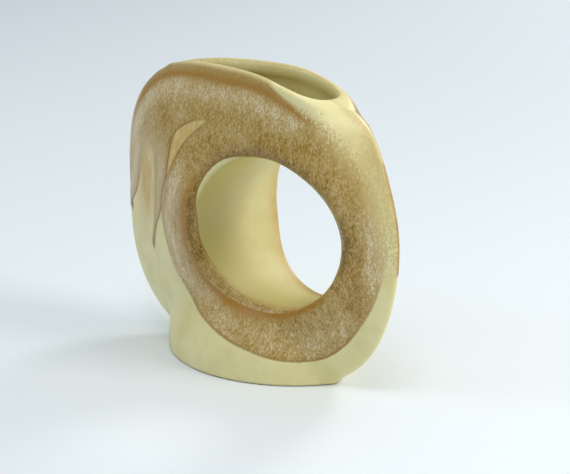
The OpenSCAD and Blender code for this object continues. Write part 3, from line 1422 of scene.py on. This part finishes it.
    def _running_colour(
        self, tree: bpy.types.NodeTree, maps: dict[str, bpy.types.NodeSocket]
    ) -> bpy.types.NodeSocket:
        """Colour of the running glaze, from brown where it is thin to milky where it is thick.

        Args:
            tree: Node tree of the material.
            maps: Layers and noises.

        Returns:
            The colour.
        """
        gains = (
            ("speck", self.speck_gain),
            ("band", self.band_gain),
            ("cloud", self.cloud_gain),
        )
        level = -(self.streak_gain + sum(gain for _, gain in gains)) / 2
        tone = add_node(
            tree,
            "ShaderNodeMath",
            {"operation": "MULTIPLY_ADD", 1: self.streak_gain, 2: level},
            {0: maps["streak"]},
        ).outputs[0]
        for name, gain in gains:
            tone = add_node(
                tree,
                "ShaderNodeMath",
                {"operation": "MULTIPLY_ADD", 1: gain},
                {0: maps[name], 2: tone},
            ).outputs[0]
        tone = add_node(
            tree,
            "ShaderNodeMath",
            {"operation": "MULTIPLY_ADD"},
            {0: tone, 1: maps["grain"], 2: maps["thickness"]},
        ).outputs[0]
        ramp = add_node(tree, "ShaderNodeValToRGB", None, {"Fac": tone})
        while len(ramp.color_ramp.elements) < len(self.running):
            ramp.color_ramp.elements.new(0.5)
        for element, (place, code) in zip(ramp.color_ramp.elements, self.running):
            element.position = place
            element.color = linear(code)
        burn = add_node(
            tree,
            "ShaderNodeMath",
            {"operation": "MULTIPLY_ADD", 1: self.burn_swing, 2: self.burn_level},
            {0: maps["band"]},
        ).outputs[0]
        burn = add_node(
            tree,
            "ShaderNodeMath",
            {"operation": "MULTIPLY", "use_clamp": True},
            {0: burn, 1: maps["burn"]},
        ).outputs[0]
        return add_node(
            tree,
            "ShaderNodeMix",
            {"data_type": "RGBA", 7: linear(self.burnt)},
            {"Factor": burn, 6: ramp.outputs["Color"]},
        ).outputs[2]

    def _cream_colour(
        self, tree: bpy.types.NodeTree, maps: dict[str, bpy.types.NodeSocket]
    ) -> bpy.types.NodeSocket:
        """Colour of the cream glaze, clouded, darkened by painted shade on the wall of the window,
        and stained in streaks near the running glaze.

        Args:
            tree: Node tree of the material.
            maps: Layers and noises.

        Returns:
            The colour.
        """
        span = {"From Min": self.noise_low, "From Max": self.noise_high}
        cloud = add_node(
            tree, "ShaderNodeMapRange", span, {"Value": maps["cloud"]}
        ).outputs["Result"]
        cream = add_node(
            tree,
            "ShaderNodeMix",
            {"data_type": "RGBA", 6: linear(self.cream), 7: linear(self.cream_shade)},
            {"Factor": cloud},
        ).outputs[2]
        # Painted shade and bounce light on the wall of the window.
        cream = add_node(
            tree,
            "ShaderNodeMix",
            {"data_type": "RGBA", 7: linear(self.painted_shade_colour)},
            {"Factor": maps["pool"], 6: cream},
        ).outputs[2]
        streaks = add_node(
            tree,
            "ShaderNodeMapRange",
            {**span, "To Min": self.stain_low, "To Max": self.stain_high},
            {"Value": maps["band"]},
        ).outputs["Result"]
        stain = add_node(
            tree,
            "ShaderNodeMath",
            {"operation": "MULTIPLY", "use_clamp": True},
            {0: maps["stain"], 1: streaks},
        ).outputs[0]
        return add_node(
            tree,
            "ShaderNodeMix",
            {"data_type": "RGBA", 7: linear(self.stain)},
            {"Factor": stain, 6: cream},
        ).outputs[2]

    def _edge_lines(
        self,
        tree: bpy.types.NodeTree,
        maps: dict[str, bpy.types.NodeSocket],
        colour: bpy.types.NodeSocket,
    ) -> bpy.types.NodeSocket:
        """Adds the dark line where the running glaze stopped, and a painted highlight along the top
        of its ridge.

        Args:
            tree: Node tree of the material.
            maps: Layers and noises.
            colour: Colour of the glazes.

        Returns:
            The colour with the lines on it.
        """
        away = add_node(
            tree,
            "ShaderNodeMath",
            {"operation": "SUBTRACT", 1: self.line_place_mm},
            {0: maps["veil"]},
        ).outputs[0]
        away = add_node(tree, "ShaderNodeMath", {"operation": "ABSOLUTE"}, {0: away}).outputs[0]
        line = add_node(
            tree,
            "ShaderNodeMapRange",
            {"From Min": self.line_end_mm, "From Max": self.line_full_mm},
            {"Value": away},
        ).outputs["Result"]
        line = add_node(
            tree, "ShaderNodeMath", {"operation": "MULTIPLY"}, {0: line, 1: maps["edge"]}
        ).outputs[0]
        line = add_node(
            tree, "ShaderNodeMath", {"operation": "MAXIMUM"}, {0: line, 1: maps["bead"]}
        ).outputs[0]
        colour = add_node(
            tree,
            "ShaderNodeMix",
            {"data_type": "RGBA", 7: linear(self.line)},
            {"Factor": line, 6: colour},
        ).outputs[2]
        # Painted highlight along the top of the ridge, broken by noise.
        ridge = add_node(
            tree,
            "ShaderNodeMapRange",
            {"From Min": self.ridge_highlight_half_mm, "From Max": 0.0, "To Max": self.ridge_highlight_strength},
            {"Value": maps["crest"]},
        ).outputs["Result"]
        broken = add_node(
            tree,
            "ShaderNodeMapRange",
            {"From Min": self.ridge_low, "From Max": self.ridge_high},
            {"Value": maps["band"]},
        ).outputs["Result"]
        ridge = add_node(
            tree,
            "ShaderNodeMath",
            {"operation": "MULTIPLY", "use_clamp": True},
            {0: ridge, 1: broken},
        ).outputs[0]
        return add_node(
            tree,
            "ShaderNodeMix",
            {"data_type": "RGBA", 7: linear(self.ridge)},
            {"Factor": ridge, 6: colour},
        ).outputs[2]

    def _roughness(
        self,
        tree: bpy.types.NodeTree,
        maps: dict[str, bpy.types.NodeSocket],
        cover: bpy.types.NodeSocket,
        bare: bpy.types.NodeSocket,
    ) -> bpy.types.NodeSocket:
        """Roughness: glossy on the pour, satin on the cream glaze and dull on bare clay.

        Args:
            tree: Node tree of the material.
            maps: Layers and noises.
            cover: Share of the running glaze.
            bare: Share of the bare clay.

        Returns:
            The roughness.
        """
        glazed = add_node(
            tree,
            "ShaderNodeMapRange",
            {"To Min": self.cream_roughness, "To Max": self.gloss_roughness},
            {"Value": cover},
        ).outputs["Result"]
        glazed = add_node(
            tree,
            "ShaderNodeMath",
            {"operation": "MULTIPLY_ADD", 1: self.roughness_swing},
            {0: maps["band"], 2: glazed},
        ).outputs[0]
        return add_node(
            tree,
            "ShaderNodeMapRange",
            {"To Max": self.clay_roughness},
            {"Value": bare, "To Min": glazed},
        ).outputs["Result"]


@dataclass(frozen=True)
class RingVase:
    """The vase: one slip-cast piece with its foot, glazed all over but under the foot."""

    form: Form = Form()
    finish: GlazedStoneware = GlazedStoneware()
    name: str = "glazed_vase"
    step: float = 1.0
    quick_step: float = 2.0

    def build(self) -> bpy.types.Object:
        """Meshes the clay and raises the glaze on it.

        Returns:
            The vase, linked to the scene, with the layers of its glaze on the mesh.
        """
        clay = ClayField(self.form, step=self.step)
        origin = (float(clay.x[0]), -float(clay.y[-1]), float(clay.z[0]))
        net = SurfaceNet(clay.solve(), origin, clay.step)
        points, faces = net.solve()
        glaze = GlazeMap(self.form, points, net.value(clay.body, points))
        raised = points + net.normals(points) * glaze.relief()[:, None]
        mesh = bpy.data.meshes.new(self.name)
        mesh.from_pydata((raised * MM).tolist(), [], faces.tolist())
        mesh.update()
        mesh.shade_smooth()
        for name in LAYERS:
            layer = mesh.attributes.new(name, "FLOAT", "POINT")
            layer.data.foreach_set("value", getattr(glaze, name)().astype(np.float32))
        flow = mesh.attributes.new("flow", "FLOAT_VECTOR", "POINT")
        flow.data.foreach_set("vector", glaze.flow().astype(np.float32).ravel())
        vase = bpy.data.objects.new(self.name, mesh)
        bpy.context.collection.objects.link(vase)
        return vase

    def dress(self, vase: bpy.types.Object) -> None:
        """Gives the vase its finish."""
        vase.data.materials.append(self.finish.build())


@dataclass(frozen=True)
class Lamp:
    """Square studio light that faces the vase, in millimetres and watts."""

    name: str
    place: tuple[float, float, float]
    size: float
    power: float
    colour: str
    aim_z: float = 90.0

    def build(self) -> bpy.types.Object:
        """Makes the light and turns it to the vase.

        Returns:
            The light.
        """
        data = bpy.data.lights.new(self.name, "AREA")
        data.size = self.size * MM
        data.energy = self.power
        data.color = linear(self.colour)[:3]
        lamp = bpy.data.objects.new(self.name, data)
        place = Vector(self.place) * MM
        aim = Vector((0, 0, self.aim_z * MM)) - place
        turn = aim.to_track_quat("-Z", "Y").to_matrix().to_4x4()
        lamp.matrix_world = Matrix.Translation(place) @ turn
        bpy.context.collection.objects.link(lamp)
        return lamp


@dataclass(frozen=True)
class Studio:
    """Plain pale floor under soft daylight, with lights from the right, behind and above."""

    floor_size: float = 14000.0
    floor_roughness: float = 0.7
    floor_colour: str = "#e5ebee"
    sky_colour: str = "#e9f3fb"
    sky_overhead: float = 0.74
    sky_level: float = 0.1
    lamps: tuple[Lamp, ...] = (
        Lamp("side_light", (1350.0, 420.0, 900.0), 500.0, 12.0, "#fffaf2"),
        Lamp("back_light", (-300.0, 2600.0, 1500.0), 900.0, 28.0, "#fbfaf6"),
        Lamp("fill_light", (-900.0, -1100.0, 1300.0), 900.0, 4.0, "#f2f7ff"),
        Lamp("top_light", (450.0, -500.0, 1900.0), 800.0, 10.0, "#fbfaf4"),
    )

    def build(self) -> list[bpy.types.Object]:
        """Makes the floor, the sky and the lights.

        Returns:
            The floor and the lights.
        """
        half = self.floor_size / 2 * MM
        corners = [(-half, -half, 0), (half, -half, 0), (half, half, 0), (-half, half, 0)]
        mesh = bpy.data.meshes.new("studio_floor")
        mesh.from_pydata(corners, [], [(0, 1, 2, 3)])
        mesh.materials.append(self._floor_material())
        floor = bpy.data.objects.new("studio_floor", mesh)
        bpy.context.collection.objects.link(floor)
        world = bpy.data.worlds.new("soft_daylight")
        world.use_nodes = True
        tree = world.node_tree
        tree.nodes.clear()
        way = add_node(tree, "ShaderNodeTexCoord").outputs["Generated"]
        height = add_node(tree, "ShaderNodeSeparateXYZ", None, {0: way}).outputs["Z"]
        strength = add_node(
            tree,
            "ShaderNodeMapRange",
            {
                "interpolation_type": "SMOOTHSTEP",
                "To Min": self.sky_level,
                "To Max": self.sky_overhead,
            },
            {"Value": height},
        ).outputs["Result"]
        sky = add_node(
            tree, "ShaderNodeBackground", {"Color": linear(self.sky_colour)}, {"Strength": strength}
        )
        add_node(tree, "ShaderNodeOutputWorld", None, {"Surface": sky.outputs[0]})
        bpy.context.scene.world = world
        bpy.context.scene.view_settings.view_transform = "Standard"
        return [floor, *(lamp.build() for lamp in self.lamps)]

    def _floor_material(self) -> bpy.types.Material:
        """Matt painted board, which gives an even pale ground with a soft shadow.

        Returns:
            The material.
        """
        material = bpy.data.materials.new("painted_board")
        material.use_nodes = True
        tree = material.node_tree
        tree.nodes.clear()
        shader = add_node(
            tree,
            "ShaderNodeBsdfPrincipled",
            {"Base Color": linear(self.floor_colour), "Roughness": self.floor_roughness},
        )
        add_node(tree, "ShaderNodeOutputMaterial", None, {"Surface": shader.outputs["BSDF"]})
        return material


@dataclass(frozen=True)
class Shot:
    """Camera of the photograph, in millimetres and degrees."""

    place: tuple[float, float, float] = (713.8, -675.8, 352.3)
    yaw: float = 45.51
    pitch: float = -15.70
    roll: float = -0.81
    lens_mm: float = 107.4
    sensor_mm: float = 36.0

    def build(self) -> bpy.types.Object:
        """Makes the camera and sets it as the scene's.

        Returns:
            The camera object.
        """
        yaw, pitch, roll = (math.radians(v) for v in (self.yaw, self.pitch, self.roll))
        ahead = Vector(
            (-math.sin(yaw) * math.cos(pitch), math.cos(yaw) * math.cos(pitch), math.sin(pitch))
        )
        level = Vector((math.cos(yaw), math.sin(yaw), 0))
        above = level.cross(ahead)
        right = level * math.cos(roll) + above * math.sin(roll)
        up = above * math.cos(roll) - level * math.sin(roll)
        data = bpy.data.cameras.new("photo_camera")
        data.lens = self.lens_mm
        data.sensor_width = self.sensor_mm
        camera = bpy.data.objects.new("photo_camera", data)
        turn = Matrix((right, up, -ahead)).transposed().to_4x4()
        camera.matrix_world = Matrix.Translation(Vector(self.place) * MM) @ turn
        bpy.context.collection.objects.link(camera)
        bpy.context.scene.camera = camera
        return camera


def main() -> None:
    """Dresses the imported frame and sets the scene."""
    logging.basicConfig(level=logging.INFO)
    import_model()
    ring_vase = RingVase()
    vase = ring_vase.build()
    ring_vase.dress(vase)
    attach(vase, "root")
    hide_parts("vase_body")
    for piece in (vase, *Studio().build(), Shot().build()):
        LOG.info("%s: %s", piece.name, piece.type.lower())


if __name__ == "__main__":
    main()
